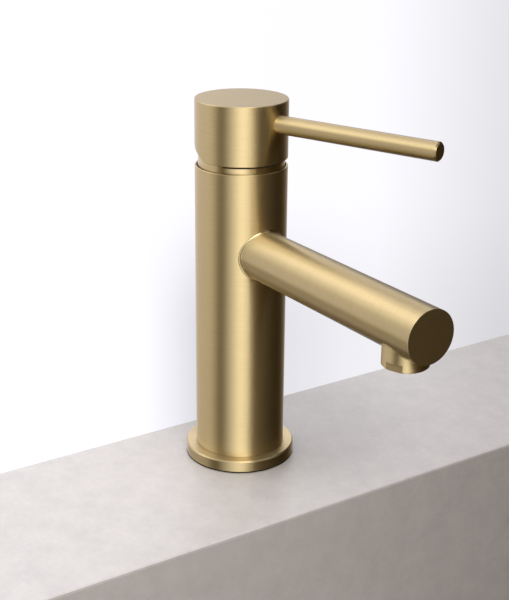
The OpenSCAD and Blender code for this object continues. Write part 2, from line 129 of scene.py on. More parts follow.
class InnerSettings(bpy.types.PropertyGroup):
    """The materials of the cartridge, the seals and the fixings."""
    raw_brass: bpy.props.FloatVectorProperty(
        name="Machined brass", description="Colour of the uncoated machined brass",
        default=(0.72, 0.53, 0.21), min=0, max=1, size=3, subtype="COLOR")
    zinc: bpy.props.FloatVectorProperty(
        name="Zinc plate", description="Colour of the zinc-plated steel",
        default=(0.62, 0.63, 0.64), min=0, max=1, size=3, subtype="COLOR")
    stainless: bpy.props.FloatVectorProperty(
        name="Stainless steel", description="Colour of the stainless steel",
        default=(0.60, 0.59, 0.57), min=0, max=1, size=3, subtype="COLOR")
    acetal: bpy.props.FloatVectorProperty(
        name="Acetal", description="Colour of the cartridge's white acetal",
        default=(0.78, 0.77, 0.72), min=0, max=1, size=3, subtype="COLOR")
    grey_plastic: bpy.props.FloatVectorProperty(
        name="Grey plastic", description="Colour of the aerator core and the cartridge floor",
        default=(0.27, 0.29, 0.31), min=0, max=1, size=3, subtype="COLOR")
    ceramic: bpy.props.FloatVectorProperty(
        name="Ceramic", description="Colour of the lapped ceramic discs",
        default=(0.86, 0.85, 0.80), min=0, max=1, size=3, subtype="COLOR")
    rubber: bpy.props.FloatVectorProperty(
        name="Rubber", description="Colour of the seals",
        default=(0.022, 0.022, 0.024), min=0, max=1, size=3, subtype="COLOR")
    # Painted shadow: this brown-black is the colour of the seal's lip and the neck band, which stand in for the
    # shadow lines under the base ring and the cap.
    shadow_line_colour: bpy.props.FloatVectorProperty(
        name="Trim rubber", description="Colour of the seal's lip and of the neck pad",
        default=(0.030, 0.021, 0.012), min=0, max=1, size=3, subtype="COLOR")


class DetailSettings(bpy.types.PropertyGroup):
    """Threads and fillets."""
    stud_pitch: bpy.props.FloatProperty(
        name="Stud pitch", description="Pitch of the M8 thread",
        default=0.00125, min=0.0005, max=0.002, precision=5, unit="LENGTH")
    stud_depth: bpy.props.FloatProperty(
        name="Stud depth", description="Depth of the M8 thread",
        default=0.00070, min=0.0001, max=0.001, precision=5, unit="LENGTH")
    hose_pitch: bpy.props.FloatProperty(
        name="Hose pitch", description="Pitch of the hose threads",
        default=0.001, min=0.0005, max=0.002, precision=5, unit="LENGTH")
    hose_crest: bpy.props.FloatProperty(
        name="Hose crest", description="Height of the crests inside the hose threads",
        default=0.00025, min=0.0001, max=0.001, precision=5, unit="LENGTH")
    root_fillet: bpy.props.FloatProperty(
        name="Spout root fillet", description="Size of the braze fillet round the spout's root",
        default=0.0009, min=0.0001, max=0.002, precision=5, unit="LENGTH")
    # The seal's lip is both a seal and a painted shadow line under the base ring.
    shadow_line_lip_height: bpy.props.FloatProperty(
        name="Seal lip", description="How much of the base seal's lip shows round the base ring",
        default=0.00085, min=0.0006, max=0.0015, precision=5, unit="LENGTH")
    # The neck pad is a dark band that paints the shadow under the cap's rim; it is no wear pad.
    shadow_band_height: bpy.props.FloatProperty(
        name="Neck pad", description="Height of the wear pad under the cap",
        default=0.0009, min=0.0003, max=0.0015, precision=5, unit="LENGTH")
    outlet_fillet: bpy.props.FloatProperty(
        name="Outlet fillet", description="Size of the fillet round the outlet socket",
        default=0.0004, min=0.0001, max=0.002, precision=5, unit="LENGTH")


class StageSettings(bpy.types.PropertyGroup):
    """The ledge, the room, the lights and the camera."""
    stone: bpy.props.FloatVectorProperty(
        name="Ledge colour", description="Colour of the pale stone ledge",
        default=(0.570, 0.540, 0.529), min=0, max=1, size=3, subtype="COLOR")
    # Painted shade: the front face is a darker copy of the stone, for the face that gets less light.
    stone_front_shade: bpy.props.FloatVectorProperty(
        name="Ledge front colour", description="Colour of the ledge's sawn front face",
        default=(0.420, 0.386, 0.368), min=0, max=1, size=3, subtype="COLOR")
    surround: bpy.props.FloatVectorProperty(
        name="Dim side", description="Tint of the room's unlit side",
        default=(1.0, 0.66, 0.26), min=0, max=1, size=3, subtype="COLOR")
    ledge_front: bpy.props.FloatProperty(
        name="Ledge front", description="How far the ledge reaches in front of the body's axis",
        default=0.068, min=0.03, max=0.5, precision=4, unit="LENGTH")
    ledge_back: bpy.props.FloatProperty(
        name="Ledge back", description="How far the ledge reaches behind the body's axis",
        default=0.038, min=0.03, max=0.5, precision=4, unit="LENGTH")
    tap_hole: bpy.props.FloatProperty(
        name="Tap hole", description="Diameter of the hole through the ledge",
        default=0.035, min=0.033, max=0.04, precision=4, unit="LENGTH")
    ceiling: bpy.props.FloatProperty(
        name="Ceiling", description="Brightness of the room's ceiling",
        default=0.80, min=0, max=10)
    top_light: bpy.props.FloatProperty(
        name="Top light", description="Brightness of the soft panel overhead",
        default=1.0, min=0, max=10)
    camera_place: bpy.props.FloatVectorProperty(
        name="Camera place", description="Where the camera stands",
        default=(0.4659, -0.3010, 0.2868), size=3, subtype="XYZ", unit="LENGTH")
    camera_heading: bpy.props.FloatProperty(
        name="Heading", description="Camera's heading from straight along +Y, turned towards -X",
        default=math.radians(56.46), subtype="ANGLE", unit="ROTATION")
    camera_pitch: bpy.props.FloatProperty(
        name="Pitch", description="How far the camera looks down",
        default=math.radians(20.68), subtype="ANGLE", unit="ROTATION")
    camera_roll: bpy.props.FloatProperty(
        name="Roll", description="Camera's roll about its own line of sight",
        default=math.radians(0.57), subtype="ANGLE", unit="ROTATION")
    camera_lens: bpy.props.FloatProperty(
        name="Lens", description="Focal length for a 36 mm wide sensor, in millimetres",
        default=76.09, min=10, max=300)


# ---------------------------------------------------------------- material helpers

def start_material(name):
    """A node material's tree with its Principled shader."""
    material = bpy.data.materials.get(name)
    if material:
        bpy.data.materials.remove(material)
    material = bpy.data.materials.new(name)
    material.use_nodes = True
    tree = material.node_tree
    return material, tree, tree.nodes["Principled BSDF"]


def add(tree, kind, **settings):
    """Adds a node; settings are its properties."""
    node = tree.nodes.new(kind)
    for key, value in settings.items():
        setattr(node, key, value)
    return node


def link(tree, source, target):
    """Joins an output to an input."""
    tree.links.new(source, target)


def maths(tree, operation, a, b=None):
    """A Math node on two values or sockets; returns its output."""
    node = add(tree, "ShaderNodeMath", operation=operation)
    for socket, value in zip(node.inputs, (a, b)):
        if value is None:
            continue
        if isinstance(value, (int, float)):
            socket.default_value = value
        else:
            link(tree, value, socket)
    return node.outputs[0]


def vector_maths(tree, operation, a, b=None, scale=None):
    """A Vector Math node; returns its vector output, or its value for a length or dot product."""
    node = add(tree, "ShaderNodeVectorMath", operation=operation)
    for socket, value in zip(node.inputs, (a, b)):
        if value is None:
            continue
        if isinstance(value, (tuple, list, Vector)):
            socket.default_value = value
        else:
            link(tree, value, socket)
    if scale is not None:
        if isinstance(scale, (int, float)):
            node.inputs["Scale"].default_value = scale
        else:
            link(tree, scale, node.inputs["Scale"])
    return node.outputs["Value" if operation in {"LENGTH", "DOT_PRODUCT"} else "Vector"]


def noise(tree, vector, scale, detail, roughness):
    """A Noise Texture's value output."""
    node = add(tree, "ShaderNodeTexNoise", noise_dimensions="3D")
    node.inputs["Scale"].default_value = scale
    node.inputs["Detail"].default_value = detail
    node.inputs["Roughness"].default_value = roughness
    link(tree, vector, node.inputs["Vector"])
    return node.outputs[0]


def spread(tree, value, low, high):
    """Maps 0..1 to low..high."""
    node = add(tree, "ShaderNodeMapRange")
    node.inputs["To Min"].default_value = low
    node.inputs["To Max"].default_value = high
    link(tree, value, node.inputs["Value"])
    return node.outputs[0]


def smooth_step(tree, value, first, last, low=0.0, high=1.0):
    """Maps first..last to low..high with soft ends."""
    node = add(tree, "ShaderNodeMapRange", interpolation_type="SMOOTHSTEP")
    for key, number in (("From Min", first), ("From Max", last), ("To Min", low), ("To Max", high)):
        node.inputs[key].default_value = number
    link(tree, value, node.inputs["Value"])
    return node.outputs[0]


def weigh(tree, a, a_share, b, b_share):
    """The sum of two values, each multiplied by its share."""
    return maths(tree, "ADD", maths(tree, "MULTIPLY", a, a_share), maths(tree, "MULTIPLY", b, b_share))


def tint(tree, colour, value, low, high):
    """The colour, made darker and lighter by a 0..1 value."""
    dark = [c * low for c in colour] + [1]
    pale = [min(1, c * high) for c in colour] + [1]
    return blend_colours(tree, value, dark, pale)


def blend_colours(tree, share, a, b):
    """Mixes two colours or colour sockets."""
    node = add(tree, "ShaderNodeMix", data_type="RGBA")
    sockets = [s for s in node.inputs if s.type == "RGBA"]
    for socket, value in zip(sockets, (a, b)):
        if isinstance(value, (tuple, list)):
            socket.default_value = value
        else:
            link(tree, value, socket)
    link(tree, share, node.inputs[0])
    return [s for s in node.outputs if s.type == "RGBA"][0]


def bump(tree, height, depth):
    """A Bump node; depth is the height of a full step, in metres."""
    node = add(tree, "ShaderNodeBump")
    node.inputs["Strength"].default_value = 1.0
    node.inputs["Distance"].default_value = depth
    link(tree, height, node.inputs["Height"])
    return node.outputs["Normal"]


def dress(node_names, material):
    """Gives CAD nodes a material."""
    for name in node_names:
        slots = NODES[name].material_slots
        if not slots:
            raise RuntimeError("no material slot on " + name)
        for slot in slots:
            slot.material = material


# ---------------------------------------------------------------- materials

def turned_lines(tree, centre, axis, pitch, length, end_lines=None):
    """Places on the object, coordinates for lines turned round an axis, and the direction across them."""
    flat_end = 0.8
    place = add(tree, "ShaderNodeTexCoord").outputs["Object"]
    away = vector_maths(tree, "SUBTRACT", place, tuple(centre))
    along = vector_maths(tree, "DOT_PRODUCT", away, tuple(axis))
    axial = vector_maths(tree, "SCALE", tuple(axis), scale=along)
    radial = vector_maths(tree, "SUBTRACT", away, axial)
    radius = vector_maths(tree, "LENGTH", radial)
    step = maths(tree, "ADD", along, radius)
    fine = vector_maths(tree, "SCALE", tuple(axis), scale=maths(tree, "DIVIDE", step, pitch))
    coarse = vector_maths(tree, "SCALE", radial, scale=1 / length)
    lines = vector_maths(tree, "ADD", fine, coarse)
    around = vector_maths(tree, "CROSS_PRODUCT", tuple(axis), away)
    normal = add(tree, "ShaderNodeNewGeometry").outputs["Normal"]
    if end_lines is not None:
        facing = add(tree, "ShaderNodeVectorTransform", vector_type="NORMAL",
                     convert_from="WORLD", convert_to="OBJECT")
        link(tree, normal, facing.inputs[0])
        end_face = vector_maths(tree, "DOT_PRODUCT", facing.outputs[0], tuple(axis))
        end_face = maths(tree, "GREATER_THAN", maths(tree, "ABSOLUTE", end_face), flat_end)
        mixed = add(tree, "ShaderNodeMix", data_type="VECTOR")
        vectors = [x for x in mixed.inputs if x.type == "VECTOR" and x.name in {"A", "B"}]
        link(tree, end_face, mixed.inputs[0])
        link(tree, around, vectors[0])
        vectors[1].default_value = tuple(end_lines)
        around = [x for x in mixed.outputs if x.type == "VECTOR"][0]
    outside = add(tree, "ShaderNodeVectorTransform", vector_type="VECTOR",
                  convert_from="OBJECT", convert_to="WORLD")
    link(tree, around, outside.inputs[0])
    across = vector_maths(tree, "CROSS_PRODUCT", normal, outside.outputs[0])
    return place, lines, vector_maths(tree, "NORMALIZE", across)


def make_brushed_brass(name, centre, axis, end_lines=None, polish=0.0, shade=1.0, relief=1.0):
    """Brushed and lacquered brass: lines run round the axis, and straight along end_lines on flat ends.

    Polish is taken off the roughness, shade dims the colour as painted shade and relief is how strongly the lines
    show.
    """
    s = bpy.context.scene.mixer_brass
    roughness = s.roughness - polish
    colour_change = 0.12 * relief
    rough_change = 0.05 * relief
    depth = s.line_depth * relief * (1 - polish / s.roughness) ** 2
    material, tree, shader = start_material(name)
    place, lines, across = turned_lines(tree, centre, axis, s.line_pitch, s.line_length, end_lines)
    fine = noise(tree, lines, scale=1.0, detail=4.0, roughness=0.62)
    hair = noise(tree, lines, scale=3.7, detail=2.0, roughness=0.5)
    cloudy = noise(tree, place, scale=55.0, detail=2.0, roughness=0.5)
    mixed = weigh(tree, fine, 0.75, cloudy, 0.25)
    colour = tint(tree, [c * shade for c in s.colour], mixed, 1 - colour_change, 1 + colour_change)
    link(tree, colour, shader.inputs["Base Color"])
    rough = spread(tree, hair, roughness - rough_change, roughness + rough_change)
    link(tree, rough, shader.inputs["Roughness"])
    link(tree, bump(tree, fine, depth), shader.inputs["Normal"])
    link(tree, across, shader.inputs["Tangent"])
    shader.inputs["Metallic"].default_value = 1.0
    shader.inputs["Anisotropic"].default_value = s.grain
    shader.inputs["Specular Tint"].default_value = list(s.rim_colour) + [1]
    shader.inputs["Coat Weight"].default_value = s.lacquer
    shader.inputs["Coat Roughness"].default_value = 0.25
    shader.inputs["Coat IOR"].default_value = 1.5
    return material


def make_turned_metal(name, colour, centre, roughness, pitch, grain, depth):
    """Machined or drawn metal with tool marks round its upright axis."""
    material, tree, shader = start_material(name)
    place, lines, across = turned_lines(tree, centre, UPWARDS, pitch, length=0.01)
    marks = noise(tree, lines, scale=1.0, detail=3.0, roughness=0.55)
    stain = noise(tree, place, scale=90.0, detail=3.0, roughness=0.6)
    mixed = weigh(tree, marks, 0.5, stain, 0.5)
    link(tree, tint(tree, colour, mixed, low=0.82, high=1.12), shader.inputs["Base Color"])
    rough = spread(tree, stain, low=roughness - 0.07, high=roughness + 0.08)
    link(tree, rough, shader.inputs["Roughness"])
    link(tree, bump(tree, marks, depth), shader.inputs["Normal"])
    link(tree, across, shader.inputs["Tangent"])
    shader.inputs["Metallic"].default_value = 1.0
    shader.inputs["Anisotropic"].default_value = grain
    return material


def make_moulded(name, colour, roughness, grain_scale, depth, specular=0.5):
    """Moulded plastic, ceramic or rubber with a fine surface grain."""
    material, tree, shader = start_material(name)
    place = add(tree, "ShaderNodeTexCoord").outputs["Object"]
    grain = noise(tree, place, grain_scale, detail=3.0, roughness=0.55)
    cloudy = noise(tree, place, scale=70.0, detail=2.0, roughness=0.5)
    link(tree, tint(tree, colour, cloudy, low=0.9, high=1.08), shader.inputs["Base Color"])
    rough = spread(tree, grain, low=roughness - 0.06, high=roughness + 0.06)
    link(tree, rough, shader.inputs["Roughness"])
    link(tree, bump(tree, grain, depth), shader.inputs["Normal"])
    shader.inputs["Metallic"].default_value = 0.0
    shader.inputs["Specular IOR Level"].default_value = specular
    return material


# ---------------------------------------------------------------- mesh helpers

def make_piece(name, vertices, faces, material, body):
    """A smooth mesh piece that rides on a body."""
    mesh = bpy.data.meshes.new(name)
    mesh.from_pydata([tuple(v) for v in vertices], [], faces)
    mesh.update()
    piece = bpy.data.objects.new(name, mesh)
    bpy.context.scene.collection.objects.link(piece)
    mesh.materials.append(material)
    shape = bmesh.new()
    shape.from_mesh(mesh)
    bmesh.ops.recalc_face_normals(shape, faces=shape.faces)
    shape.to_mesh(mesh)
    shape.free()
    for face in mesh.polygons:
        face.use_smooth = True
    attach(piece, body)
    return piece


def grid_faces(rows, columns, closed_rows=False, closed_columns=False):
    """Faces of a rows x columns grid of vertices."""
    faces = []
    for i in range(rows if closed_rows else rows - 1):
        for j in range(columns if closed_columns else columns - 1):
            a = i * columns + j
            b = i * columns + (j + 1) % columns
            c = (i + 1) % rows * columns + (j + 1) % columns
            d = (i + 1) % rows * columns + j
            faces.append((a, b, c, d))
    return faces


def thread_wave(turns):
    """0 at the root and 1 at the crest of a rounded 60 degree thread."""
    root_share, flank_share = 0.12, 0.70
    t = turns - math.floor(turns)
    rise = 1 - abs(2 * t - 1)
    return min(1, max(0, (rise - root_share) / flank_share))


def on_body(across):
    """How far forward the body's wall is at a distance to the side."""
    return math.sqrt(BODY_RADIUS ** 2 - across ** 2)


def under_spout(across):
    """Height of the spout's underside at a distance to the side."""
    return SPOUT_AXIS_Z - math.sqrt(SPOUT_RADIUS ** 2 - across ** 2)


def build_fillet(name, profile, count, material):
    """A closed strip with a hollow face; profile(turn) gives its two edges and the corner between them.

    Its back is a ridge that goes past the corner into the metal.
    """
    steps = 6
    ridge = 0.3
    vertices = []
    for i in range(count):
        start, root, end = profile(2 * math.pi * i / count)
        for j in range(steps + 1):
            t = j / steps
            vertices.append(start * (1 - t) ** 2 + root * 2 * t * (1 - t) + end * t ** 2)
        halfway = (start + end) / 2
        vertices.append(root + (root - halfway) * ridge)
    faces = grid_faces(count, steps + 2, closed_rows=True, closed_columns=True)
    make_piece(name, vertices, faces, material, "mixer_body")


def sweep(name, section, first, last):
    """A rubber strip: a section of (radius, height) points turned about the body's axis, in degrees."""
    whole = last - first >= 360
    count = 144 if whole else 72
    sides = len(section)
    vertices = []
    for i in range(count if whole else count + 1):
        turn = math.radians(first + (last - first) * i / count)
        for r, z in section:
            vertices.append((r * math.cos(turn), r * math.sin(turn), z))
    faces = grid_faces(len(vertices) // sides, sides, closed_rows=whole, closed_columns=True)
    if not whole:
        faces += [tuple(range(sides)), tuple(len(vertices) - 1 - j for j in range(sides))]
    make_piece(name, vertices, faces, bpy.data.materials["shadow_line_rubber"], "mixer_body")


def build_thread(name, mouth, radius, depth, s):
    """A helical crest on the wall of a round inlet that opens downwards, run out at both ends."""
    sides, lead = 36, 12
    count = int((depth - s.hose_pitch) / s.hose_pitch * sides)
    sunk = 0.00004
    foot = s.hose_pitch * 0.3
    tip = foot * 0.25
    vertices = []
    for i in range(count + 1):
        angle = 2 * math.pi * i / sides
        crest = radius - s.hose_crest * min(1, i / lead, (count - i) / lead)
        z = mouth.z + foot + s.hose_pitch * i / sides
        for r, lift in ((radius + sunk, -foot), (crest, -tip), (crest, tip), (radius + sunk, foot)):
            vertices.append((mouth.x + r * math.cos(angle), mouth.y + r * math.sin(angle), z + lift))
    faces = grid_faces(count + 1, 4, closed_columns=True)
    faces += [(0, 1, 2, 3), tuple(count * 4 + j for j in (3, 2, 1, 0))]
    make_piece(name, vertices, faces, bpy.data.materials["raw_brass"], "mixer_body")


# ---------------------------------------------------------------- operators

class MIXER_OT_upright(bpy.types.Operator):
    """Brushed brass on the body, its base ring and the neck ring"""
    bl_idname = "mixer.upright"
    bl_label = "Upright"

    def execute(self, context):
        s = context.scene.mixer_brass
        # The base ring gets a copy of the brass that is dimmed by painted shade.
        for node, name, polish, shade in (("body", "brass_upright", 0, 1),
                                          ("bonnet", "brass_neck", s.neck_polish, 1),
                                          ("base_ring", "brass_ring", s.ring_polish, s.ring_painted_shade)):
            dress([node], make_brushed_brass(name, ORIGIN, UPWARDS, polish=polish, shade=shade))
        return {"FINISHED"}


class MIXER_OT_handle(bpy.types.Operator):
    """Brushed brass on the cap and the lever pin"""
    bl_idname = "mixer.handle"
    bl_label = "Handle"

    def execute(self, context):
        cap = make_brushed_brass("brass_cap", ORIGIN, UPWARDS, LIFT_AXIS)
        centre = (0, 0, middle("lever_pin").z)
        lever = make_brushed_brass("brass_lever", centre, LEVER_DIRECTION, LIFT_AXIS, relief=0.2)
        dress(["handle_cap"], cap)
        dress(["lever_pin"], lever)
        return {"FINISHED"}


class MIXER_OT_spout(bpy.types.Operator):
    """Brushed brass on the spout, the outlet socket and the aerator's collar"""
    bl_idname = "mixer.spout"
    bl_label = "Spout and outlet"

    def execute(self, context):
        spout = make_brushed_brass("brass_spout", (0, 0, SPOUT_AXIS_Z), FORWARDS, SIDEWAYS)
        outlet = make_brushed_brass("brass_outlet", (SOCKET_MIDDLE.x, 0, 0), UPWARDS, SIDEWAYS)
        dress(["spout"], spout)
        dress(["outlet_socket", "aerator_housing"], outlet)
        return {"FINISHED"}


class MIXER_OT_cartridge(bpy.types.Operator):
    """Acetal, plastic, ceramic, brass and steel on the cartridge, the aerator's core and the cap's screw"""
    bl_idname = "mixer.cartridge"
    bl_label = "Cartridge"

    def execute(self, context):
        s = context.scene.mixer_inner
        acetal = make_moulded("white_acetal", s.acetal, roughness=0.42, grain_scale=900, depth=0.00001)
        plastic = make_moulded("grey_plastic", s.grey_plastic, roughness=0.45, grain_scale=1100,
                               depth=0.00001)
        ceramic = make_moulded("lapped_ceramic", s.ceramic, roughness=0.16, grain_scale=1600, depth=0.000003,
                               specular=0.6)
        brass = make_turned_metal("raw_brass", s.raw_brass, ORIGIN, roughness=0.32, pitch=0.0004, grain=0.4,
                                  depth=0.000006)
        steel = make_turned_metal("drawn_steel", s.stainless, ORIGIN, roughness=0.30, pitch=0.0003, grain=0.4,
                                  depth=0.000004)
        dress(["cartridge_housing", "stem_guide", "disc_carrier"], acetal)
        dress(["cartridge_base", "aerator_core"], plastic)
        dress(["fixed_disc", "moving_disc"], ceramic)
        dress(["stem", "retaining_nut"], brass)
        dress(["stem_pin", "grub_screw"], steel)
        return {"FINISHED"}


class MIXER_OT_seals(bpy.types.Operator):
    """Black rubber on every seal, and the duller brown-black rubber of the lip and the pad, which paint shadow
    lines
    """
    bl_idname = "mixer.seals"
    bl_label = "Seals"

    def execute(self, context):
        s = context.scene.mixer_inner
        rubber = make_moulded("black_rubber", s.rubber, roughness=0.68, grain_scale=1400, depth=0.00002,
                              specular=0.35)
        make_moulded("shadow_line_rubber", s.shadow_line_colour, roughness=0.80, grain_scale=1400, depth=0.00002, specular=0.12)
        dress(["base_seal", "horseshoe_gasket", "aerator_washer", "port_seals", "disc_seals", "bonnet_oring"],
              rubber)
        return {"FINISHED"}


class MIXER_OT_fixings(bpy.types.Operator):
    """Zinc plate, raw brass and steel on the fixings and the aerator's screen"""
    bl_idname = "mixer.fixings"
    bl_label = "Fixings"

    def execute(self, context):
        s = context.scene.mixer_inner
        stud = (middle("fixing_stud").x, 0, 0)
        outlet = (SOCKET_MIDDLE.x, 0, 0)
        for node, name, colour, centre, roughness, pitch, grain, depth in (
                ("horseshoe_washer", "zinc_plate", s.zinc, ORIGIN, 0.38, 0.0020, 0.2, 0.000010),
                ("fixing_stud", "zinc_stud", s.zinc, stud, 0.34, 0.0006, 0.2, 0.000006),
                ("fixing_nut", "raw_brass_nut", s.raw_brass, stud, 0.32, 0.0005, 0.4, 0.000008),
                ("aerator_screen", "woven_steel", s.stainless, outlet, 0.30, 0.0004, 0.1, 0.000004)):
            dress([node], make_turned_metal(name, colour, centre, roughness, pitch, grain, depth))
        return {"FINISHED"}


class MIXER_OT_stud_thread(bpy.types.Operator):
    """The M8 stud with its thread cut"""
    bl_idname = "mixer.stud_thread"
    bl_label = "Stud thread"

    def execute(self, context):
        s = context.scene.mixer_detail
        centre = middle("fixing_stud")
        major = (STUD_HIGH.x - STUD_LOW.x) / 2
        low, high = STUD_LOW.z, STUD_HIGH.z
        sides, rings_per_turn = 40, 8
        chamfer = 0.0009
        rings = int((high - low) / s.stud_pitch * rings_per_turn)
        vertices = []
        for i in range(rings + 1):
            z = low + (high - low) * i / rings
            end = min(z - low, high - z)
            end_radius = major - max(0, chamfer - end)
            for j in range(sides):
                angle = 2 * math.pi * j / sides
                wave = thread_wave((z - low) / s.stud_pitch - j / sides)
                r = min(end_radius, major - s.stud_depth * (1 - wave))
                vertices.append((centre.x + r * math.cos(angle), centre.y + r * math.sin(angle), z))
        faces = grid_faces(rings + 1, sides, closed_columns=True)
        faces.append(tuple(range(sides)))
        faces.append(tuple(rings * sides + j for j in range(sides)))
        piece = make_piece("stud_thread", vertices, faces, bpy.data.materials["zinc_stud"],
                           "mixer_body")
        for face in piece.data.polygons[-2:]:
            face.use_smooth = False
        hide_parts("fixing_stud")
        return {"FINISHED"}


class MIXER_OT_root_fillet(bpy.types.Operator):
    """The polished braze fillet where the spout meets the body"""
    bl_idname = "mixer.root_fillet"
    bl_label = "Spout root fillet"

    def execute(self, context):
        size = context.scene.mixer_detail.root_fillet

        def profile(turn):
            across, up = math.sin(turn), math.cos(turn)
            near, wide = SPOUT_RADIUS, SPOUT_RADIUS + size
            root = Vector((on_body(near * across), near * across, SPOUT_AXIS_Z + near * up))
            start = root + Vector((size, 0, 0))
            end = Vector((on_body(wide * across), wide * across, SPOUT_AXIS_Z + wide * up))
            return start, root, end

        polish = context.scene.mixer_brass.fillet_polish
        brass = make_brushed_brass("brass_root", (0, 0, SPOUT_AXIS_Z), FORWARDS, polish=polish)
        build_fillet("root_fillet", profile, 144, brass)
        return {"FINISHED"}


class MIXER_OT_outlet_fillet(bpy.types.Operator):
    """The polished fillet where the outlet socket meets the spout"""
    bl_idname = "mixer.outlet_fillet"
    bl_label = "Outlet fillet"

    def execute(self, context):
        size = context.scene.mixer_detail.outlet_fillet
        low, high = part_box("outlet_socket")
        radius = (high.y - low.y) / 2

        def profile(turn):
            along, across = math.cos(turn), math.sin(turn)
            wide = radius + size
            root = SOCKET_MIDDLE + Vector((radius * along, radius * across, 0))
            root.z = under_spout(radius * across)
            start = root - Vector((0, 0, size))
            end = SOCKET_MIDDLE + Vector((wide * along, wide * across, 0))
            end.z = under_spout(wide * across)
            return start, root, end

        build_fillet("outlet_fillet", profile, 96, bpy.data.materials["brass_outlet"])
        return {"FINISHED"}


class MIXER_OT_shadow_line_seal_lip(bpy.types.Operator):
    """The rounded lip of the rubber seal in the joint under the base ring, dark so that it also paints the joint's
    shadow line
    """
    bl_idname = "mixer.seal_lip"
    bl_label = "Seal lip"

    def execute(self, context):
        tall = context.scene.mixer_detail.shadow_line_lip_height
        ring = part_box("base_ring")[1].y
        inner, proud = ring - 0.0008, 0.00005
        # From the hidden foot out to the ring's edge, up round the lip and back under the ring.
        section = [(inner, 0.00025), (ring - 0.0003, 0.00004), (ring, tall * 0.18),
                   (ring + proud, tall * 0.4), (ring + proud, tall * 0.8), (ring, tall * 0.95),
                   (ring - proud, tall), (inner, tall * 0.6)]
        sweep("seal_lip", section, -180, 180)
        return {"FINISHED"}


class MIXER_OT_neck_shadow_band(bpy.types.Operator):
    """A thin dark band set into the front of the neck ring, just under the cap, that paints the shadow of the
    cap's rim
    """
    bl_idname = "mixer.neck_pad"
    bl_label = "Neck pad"

    def execute(self, context):
        tall = context.scene.mixer_detail.shadow_band_height
        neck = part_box("bonnet")[1].y
        gap, proud = 0.0001, 0.00005
        half_arc = 78
        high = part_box("handle_cap")[0].z - gap
        low, bevel = high - tall, tall * 0.15
        # The back lies inside the neck's wall and the front stands proud of it.
        section = [(neck - proud, high), (neck + proud, high - bevel), (neck + proud, low + bevel),
                   (neck - proud, low)]
        facing = math.degrees(math.atan2(LEVER_DIRECTION.y, LEVER_DIRECTION.x))
        sweep("neck_pad", section, facing - half_arc, facing + half_arc)
        return {"FINISHED"}


class MIXER_OT_hose_threads(bpy.types.Operator):
    """The thread crests inside the two hose inlets"""
    bl_idname = "mixer.hose_threads"
    bl_label = "Hose threads"

    def execute(self, context):
        s = context.scene.mixer_detail
        inlets = [m for m in frame["record"]["mounts"] if m["name"].startswith("inlet")]
        if not inlets:
            raise RuntimeError("no inlet among the mounts")
        for mount in inlets:
            radius = mount["dims"]["r_mm"] / 1000
            depth = mount["dims"]["length_mm"] / 1000
            mouth = Vector(mount["pos_m"]) - Vector((0, 0, depth / 2))
            build_thread(mount["name"] + "_thread", mouth, radius, depth, s)
        return {"FINISHED"}


class MIXER_OT_stage(bpy.types.Operator):
    """Stone ledge, bright room, dark card, soft panel and camera"""
    bl_idname = "mixer.stage"
    bl_label = "Stage"

    def execute(self, context):
        s = context.scene.mixer_stage
        build_ledge(s)
        build_lights(s)
        build_camera(s)
        return {"FINISHED"}


# ---------------------------------------------------------------- stage

def make_stone(name, colour):
    """Honed stone with faint clouds and grain; painted shade darkens it towards +Y, and a painted shadow darkens
    it round a spot behind the mixer.
    """
    shadow_place, shadow_edge, shadow_core = (-0.02, 0.03, 0), 0.095, 0.025
    material, tree, shader = start_material(name)
    place = add(tree, "ShaderNodeTexCoord").outputs["Object"]
    clouds = spread(tree, noise(tree, place, scale=75.0, detail=6.0, roughness=0.68), low=-0.7, high=1.7)
    specks = noise(tree, place, scale=420.0, detail=4.0, roughness=0.65)
    split = add(tree, "ShaderNodeSeparateXYZ")
    link(tree, place, split.inputs[0])
    # Painted shade: the stone is paler on the window's side and darker towards +Y.
    side = smooth_step(tree, split.outputs["Y"], first=-0.12, last=0.22, low=1.0, high=0.2)
    # Painted shadow: a soft dark spot on the stone behind the mixer's foot.
    away = vector_maths(tree, "LENGTH", vector_maths(tree, "SUBTRACT", place, shadow_place))
    painted_shadow = smooth_step(tree, away, shadow_edge, shadow_core)
    marks = weigh(tree, clouds, 0.32, specks, 0.30)
    tone_and_painted_shade = maths(tree, "ADD", marks, weigh(tree, side, 0.54, painted_shadow, -0.42))
    link(tree, tint(tree, colour, tone_and_painted_shade, low=0.66, high=1.16), shader.inputs["Base Color"])
    link(tree, spread(tree, clouds, low=0.30, high=0.42), shader.inputs["Roughness"])
    link(tree, bump(tree, specks, depth=0.00003), shader.inputs["Normal"])
    return material


def stage_mesh(name, vertices, faces, material):
    """A mesh that belongs to the stage and not to the mixer."""
    mesh = bpy.data.meshes.new(name)
    mesh.from_pydata(vertices, [], faces)
    mesh.materials.append(material)
    thing = bpy.data.objects.new(name, mesh)
    bpy.context.scene.collection.objects.link(thing)
    return thing


def ring_of(radius, z):
    """Points of a level circle round the origin."""
    turns = [2 * math.pi * i / CIRCLE_SIDES for i in range(CIRCLE_SIDES)]
    return [(radius * math.cos(turn), radius * math.sin(turn), z) for turn in turns]


def reach_of(low, high, share):
    """Length of a ray from 0 to the end of low..high, where share of its length runs that way."""
    if abs(share) < 1e-9:
        return math.inf
    return (high if share > 0 else low) / share


